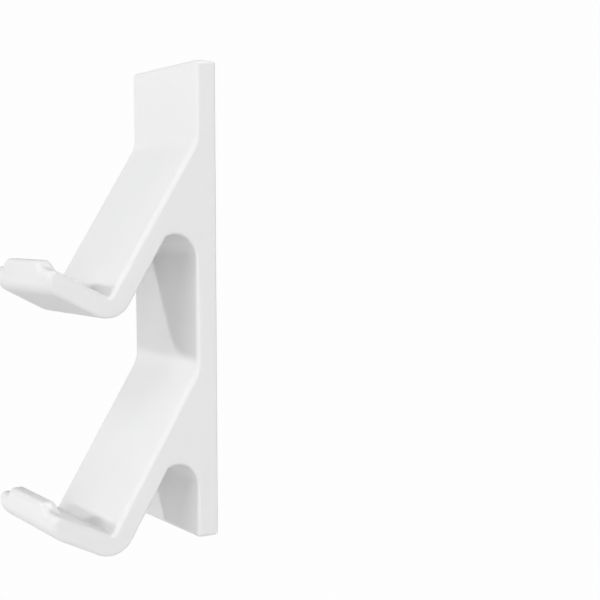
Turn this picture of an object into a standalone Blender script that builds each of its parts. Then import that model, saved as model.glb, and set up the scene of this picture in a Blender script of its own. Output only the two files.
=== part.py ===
"""Two-tier headphone hook for a wall: one moulding and the two foam tape pads that hold it up.

Metres, +Z up.  The wall is the plane Y = 0 and the hook stands out of it towards -Y.
The origin is on the wall, behind the middle of the back plate.

The moulding is its side outline carried across its width.  The outline is the same from edge
to edge, apart from two things: each tray's lip sinks into its shoulders near the side faces,
and the last stretch before a side face is drawn in by the rounding of the side edges.
"""
import math

import bmesh
import bpy
from mathutils import Vector

# ---- back plate ------------------------------------------------------------------------------
PLATE_WIDTH = 0.044
PLATE_HEIGHT = 0.160
PLATE_THICKNESS = 0.008
PLATE_FRONT_ROUND = 0.0017     # front edges of the plate's head and foot
PLATE_BACK_ROUND = 0.0011      # back edges of the same

# ---- hooks -----------------------------------------------------------------------------------
LOWER_BEND_HEIGHT = 0.057      # where the lower arm leaves the plate, above the plate's foot
HOOK_PITCH = 0.0765            # from the lower hook up to the upper one
ARM_LEAN = math.radians(32.2)  # out from the wall, measured from straight down
ARM_LENGTH = 0.0597            # down the arm's face, from the plate to the tray
ARM_THICKNESS = 0.0074
BEND_RADIUS = 0.010            # hollow between the plate and the arm's face
TRAY_RISE = math.radians(26.5)
UNDERSIDE_RISE = math.radians(27.5)
TRAY_THICKNESS = 0.0073        # at the corner with the arm; it thins towards the tip
TRAY_CORNER_RADIUS = 0.0010
ELBOW_RADIUS = 0.0090
TIP_REACH = 0.0605             # from the plate's back to the front of the lip
TIP_RADIUS = 0.0064            # the tray's underside turning up into the front of the lip
SHOULDER_RADIUS = 0.0022

# ---- slot behind each arm --------------------------------------------------------------------
ARCH_RADIUS = 0.0078
ARCH_DROP = 0.0387             # from the bend down to the middle of the arch

# ---- lip at the end of each tray -------------------------------------------------------------
LIP_TOP_DROP = 0.0387          # from the bend down to the top of the lip
LIP_THICKNESS = 0.0046         # front to back, at the top
LIP_EDGE_RADIUS = 0.0018
LIP_FOOT_RADIUS = 0.0020
LIP_BACK_LEAN = math.radians(30.0)
LIP_RISE = 0.0033              # above the shoulders
LIP_TOP_HALF_WIDTH = 0.0124
LIP_FOOT_HALF_WIDTH = 0.0154
LIP_END_ROUND = 0.0015         # from the lip's top over its end
LIP_END_HOLLOW = 0.0045        # from the lip's end out onto the shoulder

# ---- rounding of the side edges --------------------------------------------------------------
FRONT_EDGE_RADIUS = 0.0016
BACK_EDGE_RADIUS = 0.0010

# ---- foam tape pads --------------------------------------------------------------------------
PAD_WIDTH = 0.036
PAD_HEIGHT = 0.060
PAD_THICKNESS = 0.0012
PAD_CORNER_RADIUS = 0.0020
PAD_OFFSET = 0.040             # from the middle of the plate to the middle of each pad
PAD_PROUD = 0.0006             # how far a pad stands out of the plate's back
PAD_CLEARANCE = 0.0004         # round a pad, inside its recess
TOUCH_GAP = 0.0003             # between a pad and the floor of its recess

# ---- fineness --------------------------------------------------------------------------------
ARC_STEP = math.radians(15.0)
EDGE_SEGMENTS = 3
PAD_CORNER_SEGMENTS = 4
FLAT_ANGLE = math.radians(0.05)

DOWN = Vector((0.0, -1.0))


def turned(vector, angle):
    """A 2-D vector turned anticlockwise."""
    return Vector((vector.x * math.cos(angle) - vector.y * math.sin(angle),
                   vector.x * math.sin(angle) + vector.y * math.cos(angle)))


def slanting(angle):
    """A 2-D direction, as an angle up from the x axis."""
    return Vector((math.cos(angle), math.sin(angle)))


def meet(point_a, way_a, point_b, way_b):
    """Where two straight lines cross."""
    offset = point_b - point_a
    return point_a + way_a * (offset.cross(way_b) / way_a.cross(way_b))


def arc_segments(turn):
    return max(2, math.ceil(abs(turn) / ARC_STEP))


def rounded(before, corner, after, radius, segments=None):
    """Points of the arc that rounds the corner between two straight stretches."""
    way_in = (corner - before).normalized()
    way_out = (after - corner).normalized()
    turn = math.atan2(way_in.cross(way_out), way_in.dot(way_out))
    start = corner - way_in * radius * math.tan(abs(turn) / 2.0)
    centre = start + turned(way_in, math.copysign(math.pi / 2.0, turn)) * radius
    count = segments or arc_segments(turn)
    return [centre + turned(start - centre, turn * step / count) for step in range(count + 1)]


def hook_outline(bend_height, lip):
    """One hook's outline, down its face and up its underside, as (point, side edge radius).

    x is the distance out from the plate's back and y is the height above the plate's foot.
    lip is 1 where the lip stands at its full height and 0 at the shoulders.
    """
    arm_way = slanting(ARM_LEAN - math.pi / 2.0)
    tray_way = slanting(TRAY_RISE)
    underside_way = slanting(UNDERSIDE_RISE)
    bend = Vector((PLATE_THICKNESS, bend_height))
    above_bend = bend - DOWN * BEND_RADIUS
    arm_back = bend + turned(arm_way, -math.pi / 2.0) * ARM_THICKNESS
    tray_corner = bend + arm_way * ARM_LENGTH
    tray_bottom = tray_corner + turned(tray_way, -math.pi / 2.0) * TRAY_THICKNESS
    shoulder = meet(tray_corner, tray_way, Vector((TIP_REACH, bend_height)), DOWN)
    tip = meet(tray_bottom, underside_way, shoulder, DOWN)
    elbow = meet(tray_bottom, underside_way, arm_back, arm_way)

    lip_front = Vector((TIP_REACH, bend_height - LIP_TOP_DROP))
    lip_back = lip_front - Vector((LIP_THICKNESS, 0.0))
    lip_foot = meet(lip_back, turned(DOWN, -LIP_BACK_LEAN), tray_corner, tray_way)

    crest = rounded(tray_corner, lip_foot, lip_back, LIP_FOOT_RADIUS)
    crest += rounded(lip_foot, lip_back, lip_front, LIP_EDGE_RADIUS)
    turn_down = arc_segments(math.pi / 2.0 + TRAY_RISE)
    raised = rounded(lip_back, lip_front, tip, LIP_EDGE_RADIUS, turn_down)
    level = rounded(tray_corner, shoulder, tip, SHOULDER_RADIUS, turn_down)
    floor = [crest[0].lerp(level[0], step / len(crest)) for step in range(len(crest))]

    face = rounded(above_bend, bend, tray_corner, BEND_RADIUS)
    face += rounded(bend, tray_corner, shoulder, TRAY_CORNER_RADIUS)
    face += [low.lerp(high, lip) for low, high in zip(floor + level, crest + raised)]
    face += rounded(shoulder, tip, elbow, TIP_RADIUS)

    back = rounded(tip, elbow, arm_back, ELBOW_RADIUS)
    arch_middle = Vector((PLATE_THICKNESS + ARCH_RADIUS, bend_height - ARCH_DROP))
    to_middle = (arch_middle - arm_back).dot(arm_way)
    aside = (arch_middle - arm_back).cross(arm_way)
    arch_start = arm_back + arm_way * (to_middle - math.sqrt(ARCH_RADIUS ** 2 - aside ** 2))
    spoke = arch_start - arch_middle
    sweep = math.pi - math.atan2(spoke.y, spoke.x)
    count = arc_segments(sweep)
    back += [arch_middle + turned(spoke, sweep * step / count) for step in range(count + 1)]
    return ([(point, FRONT_EDGE_RADIUS) for point in face]
            + [(point, BACK_EDGE_RADIUS) for point in back])


def body_outline(lip):
    """Side outline of the whole moulding: up its back, over its head and down its front."""
    foot = Vector((0.0, 0.0))
    head = Vector((0.0, PLATE_HEIGHT))
    out = Vector((PLATE_THICKNESS, 0.0))
    back = rounded(foot + out, foot, head, PLATE_BACK_ROUND)
    back += rounded(foot, head, head + out, PLATE_BACK_ROUND)
    crown = rounded(head, head + out, foot + out, PLATE_FRONT_ROUND)
    sole = rounded(head + out, foot + out, foot, PLATE_FRONT_ROUND)
    return ([(point, BACK_EDGE_RADIUS) for point in back]
            + [(point, FRONT_EDGE_RADIUS) for point in crown]
            + hook_outline(LOWER_BEND_HEIGHT + HOOK_PITCH, lip)
            + hook_outline(LOWER_BEND_HEIGHT, lip)
            + [(point, FRONT_EDGE_RADIUS) for point in sole])


def drawn_in(outline, share):
    """The outline's points, each moved into the material by a share of its edge radius."""
    points = []
    for index, (point, radius) in enumerate(outline):
        way_in = (point - outline[index - 1][0]).normalized()
        way_out = (outline[(index + 1) % len(outline)][0] - point).normalized()
        inward = turned((way_in + way_out).normalized(), -math.pi / 2.0)
        slant = inward.dot(turned(way_in, -math.pi / 2.0))
        points.append(point + inward * radius * share / slant)
    return points


def half_rings():
    """Rings from the middle of the width out to one side face, as lists of (x, out, height)."""
    middle = Vector((0.0, LIP_RISE))
    lip_end = Vector((LIP_TOP_HALF_WIDTH, LIP_RISE))
    lip_foot = Vector((LIP_FOOT_HALF_WIDTH, 0.0))
    side = Vector((PLATE_WIDTH / 2.0, 0.0))
    rings = []
    for place in (rounded(middle, lip_end, lip_foot, LIP_END_ROUND)
                  + rounded(lip_end, lip_foot, side, LIP_END_HOLLOW)):
        outline = body_outline(place.y / LIP_RISE)
        rings.append([(place.x, point.x, point.y) for point, radius in outline])
    outline = body_outline(0.0)
    for step in range(EDGE_SEGMENTS + 1):
        angle = math.pi / 2.0 * step / EDGE_SEGMENTS
        points = drawn_in(outline, 1.0 - math.cos(angle))
        rings.append([(side.x - radius * (1.0 - math.sin(angle)), drawn.x, drawn.y)
                      for drawn, (point, radius) in zip(points, outline)])
    return rings


def to_world(place):
    """From (x, distance out from the plate's back, height) to the hook's own frame."""
    across, out, height = place
    return Vector((across, -out - PAD_PROUD, height - PLATE_HEIGHT / 2.0))


def plastic(name, colour, roughness):
    material = bpy.data.materials.new(name)
    material.use_nodes = True
    shader = material.node_tree.nodes["Principled BSDF"]
    shader.inputs["Base Color"].default_value = (*colour, 1.0)
    shader.inputs["Roughness"].default_value = roughness
    shader.inputs["Metallic"].default_value = 0.0
    return material


def add_object(name, mesh_maker, material):
    """A new object from a bmesh, with its faces pointing out and its round parts smooth."""
    bmesh.ops.recalc_face_normals(mesh_maker, faces=mesh_maker.faces)
    mesh = bpy.data.meshes.new(name)
    mesh_maker.to_mesh(mesh)
    mesh_maker.free()
    mesh.shade_smooth()
    mesh.set_sharp_from_angle(angle=math.radians(35.0))
    if material:
        mesh.materials.append(material)
    obj = bpy.data.objects.new(name, mesh)
    bpy.context.collection.objects.link(obj)
    return obj


def slab(width, height, thickness, corner_radius):
    """A slab with rounded corners, standing in XZ, with its wall side at Y = 0."""
    corners = [Vector((x * width / 2.0, z * height / 2.0))
               for x, z in ((-1, -1), (1, -1), (1, 1), (-1, 1))]
    maker = bmesh.new()
    loop = []
    for index, corner in enumerate(corners):
        for point in rounded(corners[index - 1], corner, corners[(index + 1) % 4],
                             corner_radius, PAD_CORNER_SEGMENTS):
            loop.append(maker.verts.new((point.x, 0.0, point.y)))
    wall_side = maker.faces.new(loop)
    grown = bmesh.ops.extrude_face_region(maker, geom=[wall_side])
    moved = [item for item in grown["geom"] if isinstance(item, bmesh.types.BMVert)]
    bmesh.ops.translate(maker, verts=moved, vec=(0.0, -thickness, 0.0))
    return maker


def make_body(material):
    """The moulding, ring by ring across its width and closed by its two side faces."""
    half = half_rings()
    mirrored = [[(-across, out, height) for across, out, height in ring]
                for ring in reversed(half)]
    maker = bmesh.new()
    rings = [[maker.verts.new(to_world(place)) for place in ring] for ring in mirrored + half]
    for ring, following in zip(rings, rings[1:]):
        for index in range(len(ring)):
            maker.faces.new((ring[index - 1], ring[index], following[index], following[index - 1]))
    maker.faces.new(rings[0])
    maker.faces.new(rings[-1])
    maker.normal_update()
    bmesh.ops.dissolve_limit(maker, angle_limit=FLAT_ANGLE, verts=maker.verts, edges=maker.edges)
    return add_object("hook_body", maker, material)


def make_pad(name, middle_height, body, material):
    """A foam tape pad, and the recess for it in the back of the moulding."""
    pad = add_object(name, slab(PAD_WIDTH, PAD_HEIGHT, PAD_THICKNESS, PAD_CORNER_RADIUS), material)
    pad.location.z = middle_height

    room = 2.0 * PAD_CLEARANCE
    cutter = add_object(name + "_recess_cutter",
                        slab(PAD_WIDTH + room, PAD_HEIGHT + room, PAD_THICKNESS + TOUCH_GAP,
                             PAD_CORNER_RADIUS + PAD_CLEARANCE), None)
    cutter.location.z = middle_height
    cutter.hide_render = True
    cutter.display_type = "WIRE"
    cut = body.modifiers.new("recess for " + name, "BOOLEAN")
    cut.operation = "DIFFERENCE"
    cut.solver = "EXACT"
    cut.object = cutter


def main():
    for obj in list(bpy.data.objects):
        bpy.data.objects.remove(obj)
    body = make_body(plastic("white_plastic", (0.86, 0.86, 0.86), 0.32))
    foam = plastic("foam_tape", (0.42, 0.43, 0.44), 0.8)
    make_pad("upper_foam_pad", PAD_OFFSET, body, foam)
    make_pad("lower_foam_pad", -PAD_OFFSET, body, foam)


main()
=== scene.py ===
"""Looks of the two-tier headphone hook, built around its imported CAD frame.

Metres, +Z up.  The wall is the plane Y = 0, the hook stands out of it towards -Y, and the
origin is on the wall, behind the middle of the back plate.

The moulding is its side outline carried across its width.  The outline is the same from edge
to edge, apart from two things: each tray's lip sinks into its shoulders near the side faces,
and the last stretch before a side face is drawn in by the rounding of the side edges.
"""

import math

import bmesh
import bpy
from mathutils import Matrix, Vector


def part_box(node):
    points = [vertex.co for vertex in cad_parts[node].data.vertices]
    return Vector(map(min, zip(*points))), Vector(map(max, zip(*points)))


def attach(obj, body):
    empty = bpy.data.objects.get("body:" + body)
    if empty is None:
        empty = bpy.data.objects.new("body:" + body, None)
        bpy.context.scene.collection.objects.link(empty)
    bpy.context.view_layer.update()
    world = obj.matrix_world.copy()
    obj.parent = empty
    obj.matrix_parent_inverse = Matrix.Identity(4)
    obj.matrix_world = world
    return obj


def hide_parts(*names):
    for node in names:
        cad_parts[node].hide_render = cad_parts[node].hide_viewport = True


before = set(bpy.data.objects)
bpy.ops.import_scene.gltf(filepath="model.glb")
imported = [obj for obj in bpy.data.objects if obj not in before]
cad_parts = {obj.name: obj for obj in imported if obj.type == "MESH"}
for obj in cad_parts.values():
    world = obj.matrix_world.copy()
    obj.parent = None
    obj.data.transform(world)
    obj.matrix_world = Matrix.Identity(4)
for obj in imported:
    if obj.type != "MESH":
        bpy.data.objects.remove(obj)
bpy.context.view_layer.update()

# ---- back plate ------------------------------------------------------------------------------
BODY_LOW, BODY_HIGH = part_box("hook_body")
PLATE_WIDTH = BODY_HIGH.x - BODY_LOW.x
PLATE_HEIGHT = 0.160
PLATE_THICKNESS = 0.008
PLATE_FRONT_ROUND = 0.0017     # front edges of the plate's head and foot
PLATE_BACK_ROUND = 0.0011      # back edges of the same

# ---- hooks -----------------------------------------------------------------------------------
LOWER_BEND_HEIGHT = 0.057      # where the lower arm leaves the plate, above the plate's foot
HOOK_PITCH = 0.0765            # from the lower hook up to the upper one
ARM_LEAN = math.radians(32.2)  # out from the wall, measured from straight down
ARM_LENGTH = 0.0597            # down the arm's face, from the plate to the tray
ARM_THICKNESS = 0.0074
BEND_RADIUS = 0.010            # hollow between the plate and the arm's face
TRAY_RISE = math.radians(26.5)
UNDERSIDE_RISE = math.radians(27.5)
TRAY_THICKNESS = 0.0073        # at the corner with the arm; it thins towards the tip
TRAY_CORNER_RADIUS = 0.0010
ELBOW_RADIUS = 0.0090
TIP_REACH = 0.0605             # from the plate's back to the front of the lip
TIP_RADIUS = 0.0064            # the tray's underside turning up into the front of the lip
SHOULDER_RADIUS = 0.0022

# ---- slot behind each arm --------------------------------------------------------------------
ARCH_RADIUS = 0.0078
ARCH_DROP = 0.0387             # from the bend down to the middle of the arch

# ---- lip at the end of each tray -------------------------------------------------------------
LIP_TOP_DROP = 0.0387          # from the bend down to the top of the lip
LIP_THICKNESS = 0.0046         # front to back, at the top
LIP_EDGE_RADIUS = 0.0018
LIP_FOOT_RADIUS = 0.0020
LIP_BACK_LEAN = math.radians(30.0)
LIP_RISE = 0.0033              # above the shoulders
LIP_TOP_HALF_WIDTH = 0.0124
LIP_FOOT_HALF_WIDTH = 0.0154
LIP_END_ROUND = 0.0015         # from the lip's top over its end
LIP_END_HOLLOW = 0.0045        # from the lip's end out onto the shoulder

# ---- rounding of the side edges --------------------------------------------------------------
FRONT_EDGE_RADIUS = 0.0016
BACK_EDGE_RADIUS = 0.0010

# ---- foam tape pads and their recesses -------------------------------------------------------
PAD_NODES = ("upper_foam_pad", "lower_foam_pad")
PAD_CORNER_RADIUS = 0.0020
PAD_PROUD = 0.0006             # how far a pad stands out of the plate's back
RECESS_CLEARANCE = 0.0004      # round a pad
RECESS_DEPTH = 0.0009
RECESS_MOUTH_ROUND = 0.0003
CUTTER_OVERSHOOT = 0.0016      # how far a recess's cutter reaches past the plate's back
FILM_THICKNESS = 0.00012       # adhesive film on each face of the foam
FILM_EDGE_BEVEL = 0.00004      # round each film's outer edge
CORE_INSET = 0.00012           # how far the cut foam sits back from the films' edges
CORE_WAIST = 1.6 * CORE_INSET  # the same, halfway through the foam
CORE_START = 1.5 * FILM_THICKNESS  # from a pad's face in to where the foam's cut edge begins

# ---- fineness --------------------------------------------------------------------------------
ARC_STEP = math.radians(4.0)
EDGE_SEGMENTS = 8
CORNER_SEGMENTS = 12
MOUTH_SEGMENTS = 5
FLAT_ANGLE = math.radians(0.05)  # neighbouring faces that turn less than this become one

# ---- surroundings ----------------------------------------------------------------------------
BACKDROP = 0.985               # brightness of the white sweep as it is seen
AMBIENT = 0.52                 # strength of the surroundings' light from in front of the wall
BEHIND_SHARE = 0.35            # the same from behind the wall, as a share of that in front
DIMMING_FROM = -0.3            # Y of the direction where that light starts to dim
DIMMING_TO = 0.8               # Y of the direction where it has dimmed to its share
FLOOR_ALBEDO = 0.80
FLOOR_ROUGHNESS = 0.9
FLOOR_DROP = 0.30              # from the lower elbow down to the floor
FLOOR_HALF_SIZE = 20.0
AIM = Vector((0.0, -0.030, 0.0))  # what every lamp points at
SENSOR_WIDTH = 36.0            # millimetres, as the lens is
NEAR_CLIP = 0.01               # nearest and farthest that the camera sees
FAR_CLIP = 50.0

DOWN = Vector((0.0, -1.0))


# ---- the moulding's shape --------------------------------------------------------------------
def turned(vector, angle):
    """A 2-D vector turned anticlockwise."""
    return Vector((vector.x * math.cos(angle) - vector.y * math.sin(angle),
                   vector.x * math.sin(angle) + vector.y * math.cos(angle)))


def slanting(angle):
    """A 2-D direction, as an angle up from the x axis."""
    return Vector((math.cos(angle), math.sin(angle)))


def meet(point_a, way_a, point_b, way_b):
    """Where two straight lines cross."""
    offset = point_b - point_a
    return point_a + way_a * (offset.cross(way_b) / way_a.cross(way_b))


def arc_segments(turn):
    """How many straight steps an arc that turns this far gets."""
    return max(2, math.ceil(abs(turn) / ARC_STEP))


def rounded(before, corner, after, radius, segments=None):
    """Points of the arc that rounds the corner between two straight stretches."""
    way_in = (corner - before).normalized()
    way_out = (after - corner).normalized()
    turn = math.atan2(way_in.cross(way_out), way_in.dot(way_out))
    start = corner - way_in * radius * math.tan(abs(turn) / 2.0)
    centre = start + turned(way_in, math.copysign(math.pi / 2.0, turn)) * radius
    count = segments or arc_segments(turn)
    return [centre + turned(start - centre, turn * step / count) for step in range(count + 1)]


def tray_top(bend_height, tray_corner, shoulder, tip, lip):
    """The tray's upper side, out over its lip and down its front.

    lip is the share of its full height that the lip stands at.
    """
    lip_front = Vector((TIP_REACH, bend_height - LIP_TOP_DROP))
    lip_back = lip_front - Vector((LIP_THICKNESS, 0.0))
    lip_foot = meet(lip_back, turned(DOWN, -LIP_BACK_LEAN), tray_corner, slanting(TRAY_RISE))

    crest = rounded(tray_corner, lip_foot, lip_back, LIP_FOOT_RADIUS)
    crest += rounded(lip_foot, lip_back, lip_front, LIP_EDGE_RADIUS)
    turn_down = arc_segments(math.pi / 2.0 + TRAY_RISE)
    raised = rounded(lip_back, lip_front, tip, LIP_EDGE_RADIUS, turn_down)
    level = rounded(tray_corner, shoulder, tip, SHOULDER_RADIUS, turn_down)
    flat = [crest[0].lerp(level[0], step / len(crest)) for step in range(len(crest))]
    return [low.lerp(high, lip) for low, high in zip(flat + level, crest + raised)]


def slot_arch(bend_height, arm_back, arm_way):
    """The top of the slot behind the arm, from the arm's back round to the plate."""
    middle = Vector((PLATE_THICKNESS + ARCH_RADIUS, bend_height - ARCH_DROP))
    along = (middle - arm_back).dot(arm_way)
    aside = (middle - arm_back).cross(arm_way)
    start = arm_back + arm_way * (along - math.sqrt(ARCH_RADIUS ** 2 - aside ** 2))
    spoke = start - middle
    sweep = math.pi - math.atan2(spoke.y, spoke.x)
    count = arc_segments(sweep)
    return [middle + turned(spoke, sweep * step / count) for step in range(count + 1)]


def hook_outline(bend_height, lip):
    """One hook's outline, down its face and up its underside, as (point, side edge radius).

    x is the distance out from the plate's back and y is the height above the plate's foot.
    lip is 1 where the lip stands at its full height and 0 at the shoulders.
    """
    arm_way = slanting(ARM_LEAN - math.pi / 2.0)
    tray_way = slanting(TRAY_RISE)
    underside_way = slanting(UNDERSIDE_RISE)
    bend = Vector((PLATE_THICKNESS, bend_height))
    above_bend = bend - DOWN * BEND_RADIUS
    arm_back = bend + turned(arm_way, -math.pi / 2.0) * ARM_THICKNESS
    tray_corner = bend + arm_way * ARM_LENGTH
    tray_bottom = tray_corner + turned(tray_way, -math.pi / 2.0) * TRAY_THICKNESS
    shoulder = meet(tray_corner, tray_way, Vector((TIP_REACH, bend_height)), DOWN)
    tip = meet(tray_bottom, underside_way, shoulder, DOWN)
    elbow = meet(tray_bottom, underside_way, arm_back, arm_way)

    face = rounded(above_bend, bend, tray_corner, BEND_RADIUS)
    face += rounded(bend, tray_corner, shoulder, TRAY_CORNER_RADIUS)
    face += tray_top(bend_height, tray_corner, shoulder, tip, lip)
    face += rounded(shoulder, tip, elbow, TIP_RADIUS)
    back = rounded(tip, elbow, arm_back, ELBOW_RADIUS)
    back += slot_arch(bend_height, arm_back, arm_way)
    return ([(point, FRONT_EDGE_RADIUS) for point in face]
            + [(point, BACK_EDGE_RADIUS) for point in back])


def body_outline(lip):
    """Side outline of the whole moulding: up its back, over its head and down its front."""
    foot = Vector((0.0, 0.0))
    head = Vector((0.0, PLATE_HEIGHT))
    out = Vector((PLATE_THICKNESS, 0.0))
    back = rounded(foot + out, foot, head, PLATE_BACK_ROUND)
    back += rounded(foot, head, head + out, PLATE_BACK_ROUND)
    crown = rounded(head, head + out, foot + out, PLATE_FRONT_ROUND)
    sole = rounded(head + out, foot + out, foot, PLATE_FRONT_ROUND)
    return ([(point, BACK_EDGE_RADIUS) for point in back]
            + [(point, FRONT_EDGE_RADIUS) for point in crown]
            + hook_outline(LOWER_BEND_HEIGHT + HOOK_PITCH, lip)
            + hook_outline(LOWER_BEND_HEIGHT, lip)
            + [(point, FRONT_EDGE_RADIUS) for point in sole])


def drawn_in(outline, share):
    """The outline's points, each moved into the material by a share of its edge radius."""
    points = []
    for index, (point, radius) in enumerate(outline):
        way_in = (point - outline[index - 1][0]).normalized()
        way_out = (outline[(index + 1) % len(outline)][0] - point).normalized()
        inward = turned((way_in + way_out).normalized(), -math.pi / 2.0)
        slant = inward.dot(turned(way_in, -math.pi / 2.0))
        points.append(point + inward * radius * share / slant)
    return points


def half_rings():
    """Rings from the middle of the width out to one side face, as lists of (x, out, height).

    Each place is an x and how far the lip's top stands above the shoulders there.
    """
    middle = Vector((0.0, LIP_RISE))
    lip_end = Vector((LIP_TOP_HALF_WIDTH, LIP_RISE))
    lip_foot = Vector((LIP_FOOT_HALF_WIDTH, 0.0))
    side = Vector((PLATE_WIDTH / 2.0, 0.0))
    rings = []
    for place in (rounded(middle, lip_end, lip_foot, LIP_END_ROUND)
                  + rounded(lip_end, lip_foot, side, LIP_END_HOLLOW)):
        outline = body_outline(place.y / LIP_RISE)
        rings.append([(place.x, point.x, point.y) for point, radius in outline])
    outline = body_outline(0.0)
    for step in range(EDGE_SEGMENTS + 1):
        angle = math.pi / 2.0 * step / EDGE_SEGMENTS
        points = drawn_in(outline, 1.0 - math.cos(angle))
        rings.append([(side.x - radius * (1.0 - math.sin(angle)), drawn.x, drawn.y)
                      for drawn, (point, radius) in zip(points, outline)])
    return rings


def to_world(place):
    """From (x, distance out from the plate's back, height) to the hook's own frame."""
    across, out, height = place
    return Vector((across, -out - PAD_PROUD, height - PLATE_HEIGHT / 2.0))


# ---- objects ---------------------------------------------------------------------------------
def add_object(name, maker, material=None):
    """A new smooth-shaded object from a bmesh, with its faces pointing out."""
    bmesh.ops.recalc_face_normals(maker, faces=maker.faces)
    mesh = bpy.data.meshes.new(name)
    maker.to_mesh(mesh)
    maker.free()
    mesh.shade_smooth()
    if material:
        mesh.materials.append(material)
    obj = bpy.data.objects.new(name, mesh)
    bpy.context.scene.collection.objects.link(obj)
    return obj


def lofted(loops):
    """A closed bmesh through successive closed loops of points, capped at both ends."""
    maker = bmesh.new()
    rings = [[maker.verts.new(point) for point in loop] for loop in loops]
    for ring, following in zip(rings, rings[1:]):
        for index in range(len(ring)):
            maker.faces.new((ring[index - 1], ring[index], following[index], following[index - 1]))
    maker.faces.new(rings[0])
    maker.faces.new(rings[-1])
    return maker


def round_rectangle(low, high, grow, y):
    """A loop round a pad's outline in XZ, moved outwards by grow."""
    left, right = low.x - grow, high.x + grow
    bottom, top = low.z - grow, high.z + grow
    corners = [Vector(corner) for corner in ((left, bottom), (right, bottom),
                                             (right, top), (left, top))]
    radius = PAD_CORNER_RADIUS + grow
    loop = []
    for index, corner in enumerate(corners):
        following = corners[(index + 1) % len(corners)]
        for point in rounded(corners[index - 1], corner, following, radius, CORNER_SEGMENTS):
            loop.append(Vector((point.x, y, point.y)))
    return loop


def keep_flats_flat(obj):
    """Flat faces shade flat and roundings shade round."""
    weighted = obj.modifiers.new("normals by face area", "WEIGHTED_NORMAL")
    weighted.mode = "FACE_AREA"
    weighted.weight = 100      # large faces count for the most they can


def make_recess_cutter(node):
    """The room that a pad's recess takes out of the plate, with a rounded mouth."""
    low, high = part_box(node)
    mouth = BODY_HIGH.y
    wide = RECESS_CLEARANCE + RECESS_MOUTH_ROUND
    loops = [round_rectangle(low, high, RECESS_CLEARANCE, mouth - RECESS_DEPTH)]
    for step in range(MOUTH_SEGMENTS + 1):
        angle = math.pi / 2.0 * step / MOUTH_SEGMENTS
        grow = wide - RECESS_MOUTH_ROUND * math.cos(angle)
        depth = RECESS_MOUTH_ROUND * (1.0 - math.sin(angle))
        loops.append(round_rectangle(low, high, grow, mouth - depth))
    loops.append(round_rectangle(low, high, wide, mouth + CUTTER_OVERSHOOT))
    return add_object(node + "_recess_cutter", lofted(loops))


def cut_away(obj, cutter):
    """Takes the cutter's room out of the object, and then removes the cutter."""
    cut = obj.modifiers.new("cut", "BOOLEAN")
    cut.operation = "DIFFERENCE"
    cut.solver = "EXACT"
    cut.object = cutter
    graph = bpy.context.evaluated_depsgraph_get()
    finished = bpy.data.meshes.new_from_object(obj.evaluated_get(graph))
    obj.modifiers.clear()
    obj.data = finished
    bpy.data.objects.remove(cutter)


def make_body(material):
    """The moulding, ring by ring across its width, with a recess in its back for each pad."""
    half = half_rings()
    mirrored = [[(-across, out, height) for across, out, height in ring]
                for ring in reversed(half)]
    maker = lofted([[to_world(place) for place in ring] for ring in mirrored + half])
    maker.normal_update()
    bmesh.ops.dissolve_limit(maker, angle_limit=FLAT_ANGLE, verts=maker.verts, edges=maker.edges)
    body = add_object("hook_moulding", maker, material)
    for node in PAD_NODES:
        cut_away(body, make_recess_cutter(node))
    keep_flats_flat(body)
    return body


def make_pad(name, node, material):
    """A foam tape pad: the cut foam between its two adhesive films."""
    low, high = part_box(node)
    edge = [(-FILM_EDGE_BEVEL, 0.0), (0.0, FILM_EDGE_BEVEL), (0.0, FILM_THICKNESS),
            (-CORE_INSET, CORE_START)]
    loops = [round_rectangle(low, high, grow, low.y + depth) for grow, depth in edge]
    loops.append(round_rectangle(low, high, -CORE_WAIST, (low.y + high.y) / 2.0))
    loops += [round_rectangle(low, high, grow, high.y - depth) for grow, depth in reversed(edge)]
    return add_object(name, lofted(loops), material)


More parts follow.
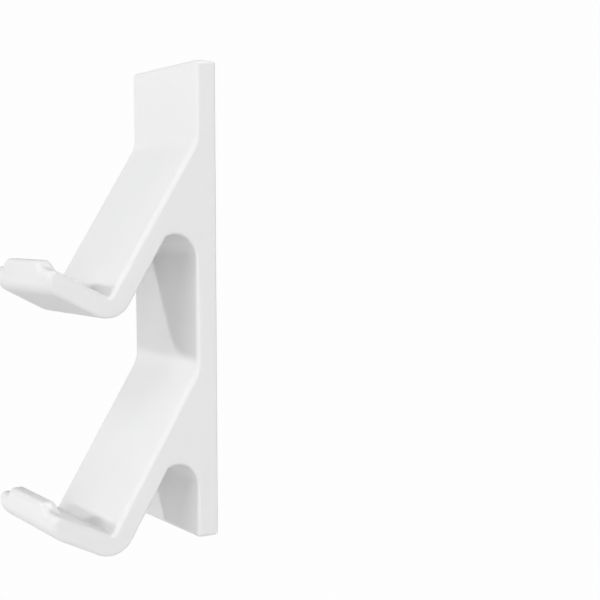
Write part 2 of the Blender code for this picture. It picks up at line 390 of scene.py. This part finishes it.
# ---- materials -------------------------------------------------------------------------------
class Nodes:
    """A material's node tree, with short calls for what both materials need."""

    NOISE_LOW, NOISE_HIGH = 0.3, 0.7   # a noise texture's values mostly lie between these

    def __init__(self, name):
        self.material = bpy.data.materials.new(name)
        self.material.use_nodes = True
        self.tree = self.material.node_tree
        self.shader = self.tree.nodes["Principled BSDF"]
        self.place = self.tree.nodes.new("ShaderNodeTexCoord").outputs["Object"]

    def noise(self, scale, detail):
        """Soft random patches."""
        node = self.tree.nodes.new("ShaderNodeTexNoise")
        node.inputs["Scale"].default_value = scale
        node.inputs["Detail"].default_value = detail
        self.tree.links.new(self.place, node.inputs["Vector"])
        return node.outputs["Fac"]

    def cells(self, scale):
        """The distance to the middle of the nearest of many small cells."""
        node = self.tree.nodes.new("ShaderNodeTexVoronoi")
        node.inputs["Scale"].default_value = scale
        self.tree.links.new(self.place, node.inputs["Vector"])
        return node.outputs["Distance"]

    def ramp(self, value, stops):
        """Colours by value, from stops of (position, colour)."""
        node = self.tree.nodes.new("ShaderNodeValToRGB")
        elements = node.color_ramp.elements
        while len(elements) < len(stops):
            elements.new(0.5)
        for element, (position, colour) in zip(elements, stops):
            element.position = position
            element.color = (*colour, 1.0)
        self.tree.links.new(value, node.inputs["Fac"])
        return node.outputs["Color"]

    def spread(self, value, low, high):
        """Maps a noise texture's values onto low to high."""
        node = self.tree.nodes.new("ShaderNodeMapRange")
        node.inputs["From Min"].default_value = self.NOISE_LOW
        node.inputs["From Max"].default_value = self.NOISE_HIGH
        node.inputs["To Min"].default_value = low
        node.inputs["To Max"].default_value = high
        self.tree.links.new(value, node.inputs["Value"])
        return node.outputs["Result"]

    def bump(self, height, distance, strength, under=None):
        """A surface raised by height times distance, on top of an earlier bump if there is one."""
        node = self.tree.nodes.new("ShaderNodeBump")
        node.inputs["Distance"].default_value = distance
        node.inputs["Strength"].default_value = strength
        self.tree.links.new(height, node.inputs["Height"])
        if under:
            self.tree.links.new(under, node.inputs["Normal"])
        return node.outputs["Normal"]

    def link(self, value, socket):
        """Feeds a value into one of the shader's sockets."""
        self.tree.links.new(value, self.shader.inputs[socket])


def white_plastic():
    """Moulded white plastic: a fine spark-eroded grain over a very slight flow waviness."""
    nodes = Nodes("moulded_white_plastic")
    tint = nodes.ramp(nodes.noise(scale=28.0, detail=3.0),
                      [(0.30, (0.715, 0.717, 0.719)), (0.70, (0.735, 0.735, 0.735))])
    sheen = nodes.spread(nodes.noise(scale=180.0, detail=4.0), low=0.28, high=0.35)
    waviness = nodes.bump(nodes.noise(scale=90.0, detail=1.0), distance=0.00002, strength=0.5)
    grain = nodes.bump(nodes.noise(scale=2600.0, detail=2.0), distance=0.000006, strength=0.6,
                       under=waviness)
    nodes.link(tint, "Base Color")
    nodes.link(sheen, "Roughness")
    nodes.link(grain, "Normal")
    nodes.shader.inputs["IOR"].default_value = 1.5
    return nodes.material


def foam_tape():
    """Closed-cell foam between films of tacky adhesive."""
    nodes = Nodes("closed_cell_foam_tape")
    patches = nodes.ramp(nodes.noise(scale=160.0, detail=4.0),
                         [(0.30, (0.36, 0.37, 0.38)), (0.55, (0.43, 0.44, 0.45)),
                          (0.75, (0.50, 0.51, 0.52))])
    tack = nodes.spread(nodes.noise(scale=420.0, detail=3.0), low=0.45, high=0.75)
    pores = nodes.bump(nodes.cells(scale=2600.0), distance=0.00008, strength=0.7)
    dents = nodes.bump(nodes.noise(scale=240.0, detail=2.0), distance=0.00005, strength=0.5,
                       under=pores)
    nodes.link(patches, "Base Color")
    nodes.link(tack, "Roughness")
    nodes.link(dents, "Normal")
    nodes.shader.inputs["Coat Weight"].default_value = 0.15
    nodes.shader.inputs["Coat Roughness"].default_value = 0.35
    return nodes.material


# ---- surroundings ----------------------------------------------------------------------------
def seen_white(tree, kind, lighting):
    """A shader that the camera sees as plain white, and that lights the scene as lighting does.

    kind is the type of node that can shine white in this tree.
    """
    white = tree.nodes.new(kind)
    white.inputs["Color"].default_value = (1.0, 1.0, 1.0, 1.0)
    white.inputs["Strength"].default_value = BACKDROP
    path = tree.nodes.new("ShaderNodeLightPath")
    mix = tree.nodes.new("ShaderNodeMixShader")
    tree.links.new(path.outputs["Is Camera Ray"], mix.inputs["Fac"])
    tree.links.new(lighting, mix.inputs[1])
    tree.links.new(white.outputs[0], mix.inputs[2])
    return mix.outputs[0]


def studio_world():
    """Even white light from all round, dimmer from behind the wall than from in front of it."""
    world = bpy.data.worlds.new("studio")
    world.use_nodes = True
    tree = world.node_tree
    ambient = tree.nodes["Background"]
    ambient.inputs["Strength"].default_value = AMBIENT
    ray = tree.nodes.new("ShaderNodeTexCoord")
    direction = tree.nodes.new("ShaderNodeSeparateXYZ")
    dimming = tree.nodes.new("ShaderNodeMapRange")
    dimming.interpolation_type = "SMOOTHSTEP"
    dimming.inputs["From Min"].default_value = DIMMING_FROM
    dimming.inputs["From Max"].default_value = DIMMING_TO
    dimming.inputs["To Min"].default_value = 1.0
    dimming.inputs["To Max"].default_value = BEHIND_SHARE
    tree.links.new(ray.outputs["Generated"], direction.inputs[0])
    tree.links.new(direction.outputs["Y"], dimming.inputs["Value"])
    tree.links.new(dimming.outputs["Result"], ambient.inputs["Color"])
    tree.links.new(seen_white(tree, "ShaderNodeBackground", ambient.outputs[0]),
                   tree.nodes["World Output"].inputs["Surface"])
    return world


def pale_floor():
    """A matt pale floor, seen as the backdrop is."""
    material = bpy.data.materials.new("pale_floor")
    material.use_nodes = True
    tree = material.node_tree
    shader = tree.nodes["Principled BSDF"]
    shader.inputs["Base Color"].default_value = (FLOOR_ALBEDO, FLOOR_ALBEDO, FLOOR_ALBEDO, 1.0)
    shader.inputs["Roughness"].default_value = FLOOR_ROUGHNESS
    tree.links.new(seen_white(tree, "ShaderNodeEmission", shader.outputs[0]),
                   tree.nodes["Material Output"].inputs["Surface"])
    return material


def make_floor(material):
    """A wide floor, well below the hook."""
    maker = bmesh.new()
    bmesh.ops.create_grid(maker, x_segments=1, y_segments=1, size=FLOOR_HALF_SIZE)
    floor = add_object("floor", maker, material)
    floor.location.z = BODY_LOW.z - FLOOR_DROP
    return floor


def area_light(name, azimuth, elevation, distance, size, power, mirrored=True):
    """A softbox aimed at the hook, at an azimuth measured from the front towards +X.

    size is (width, height), angles are in degrees and power is in watts.  A lamp that is not
    mirrored lights the hook without showing as a glint on it, as a cross-polarised lamp does.
    """
    light = bpy.data.lights.new(name, "AREA")
    light.shape = "RECTANGLE"
    light.size, light.size_y = size
    light.energy = power
    obj = bpy.data.objects.new(name, light)
    bpy.context.scene.collection.objects.link(obj)
    turn, rise = math.radians(azimuth), math.radians(elevation)
    out = Vector((math.sin(turn) * math.cos(rise), -math.cos(turn) * math.cos(rise),
                  math.sin(rise)))
    obj.location = AIM + out * distance
    obj.rotation_euler = out.to_track_quat("Z", "Y").to_euler()
    obj.visible_glossy = mirrored


def camera(azimuth, pitch, roll, place, lens):
    """A camera looking down by pitch, at an azimuth measured from the front towards +X.

    Angles are in degrees and lens is in millimetres.
    """
    turn, down, lean = (math.radians(value) for value in (azimuth, pitch, roll))
    back = Vector((math.sin(turn) * math.cos(down), -math.cos(turn) * math.cos(down),
                   math.sin(down)))
    level_right = Vector((math.cos(turn), math.sin(turn), 0.0))
    level_up = back.cross(level_right)
    right = level_right * math.cos(lean) + level_up * math.sin(lean)
    up = level_up * math.cos(lean) - level_right * math.sin(lean)
    data = bpy.data.cameras.new("camera")
    data.sensor_width = SENSOR_WIDTH
    data.lens = lens
    data.clip_start = NEAR_CLIP
    data.clip_end = FAR_CLIP
    obj = bpy.data.objects.new("camera", data)
    bpy.context.scene.collection.objects.link(obj)
    obj.matrix_world = Matrix((right, up, back)).transposed().to_4x4()
    obj.matrix_world.translation = Vector(place)
    return obj


# ---- the scene -------------------------------------------------------------------------------
body = make_body(white_plastic())
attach(body, "root")
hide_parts("hook_body")

foam = foam_tape()
for node in PAD_NODES:
    pad = make_pad(node.replace("_pad", "_tape"), node, foam)
    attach(pad, "root")
    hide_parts(node)

bpy.context.scene.world = studio_world()
floor = make_floor(pale_floor())

# The two keys cast the photograph's shadows.  The softboxes fill them and light the near edges.
area_light("far_side_key", azimuth=-44.9, elevation=17.6, distance=2.5, size=(0.16, 0.16),
           power=22.8, mirrored=False)
area_light("front_key", azimuth=8.0, elevation=24.0, distance=2.5, size=(1.20, 0.14),
           power=12.4, mirrored=False)
area_light("near_high_softbox", azimuth=36.0, elevation=42.0, distance=2.0, size=(0.50, 0.50),
           power=4.3)
area_light("near_camera_softbox", azimuth=60.0, elevation=4.0, distance=2.0, size=(0.90, 0.90),
           power=7.9)
area_light("near_side_softbox", azimuth=98.0, elevation=20.0, distance=2.0, size=(0.90, 0.90),
           power=7.8)
area_light("rear_top_softbox", azimuth=138.0, elevation=58.0, distance=2.0, size=(0.90, 0.90),
           power=12.0)

bpy.context.scene.camera = camera(azimuth=53.64, pitch=3.92, roll=-0.075,
                                  place=(0.3334, -0.1953, 0.0255), lens=65.33)
bpy.context.scene.view_settings.view_transform = "Standard"
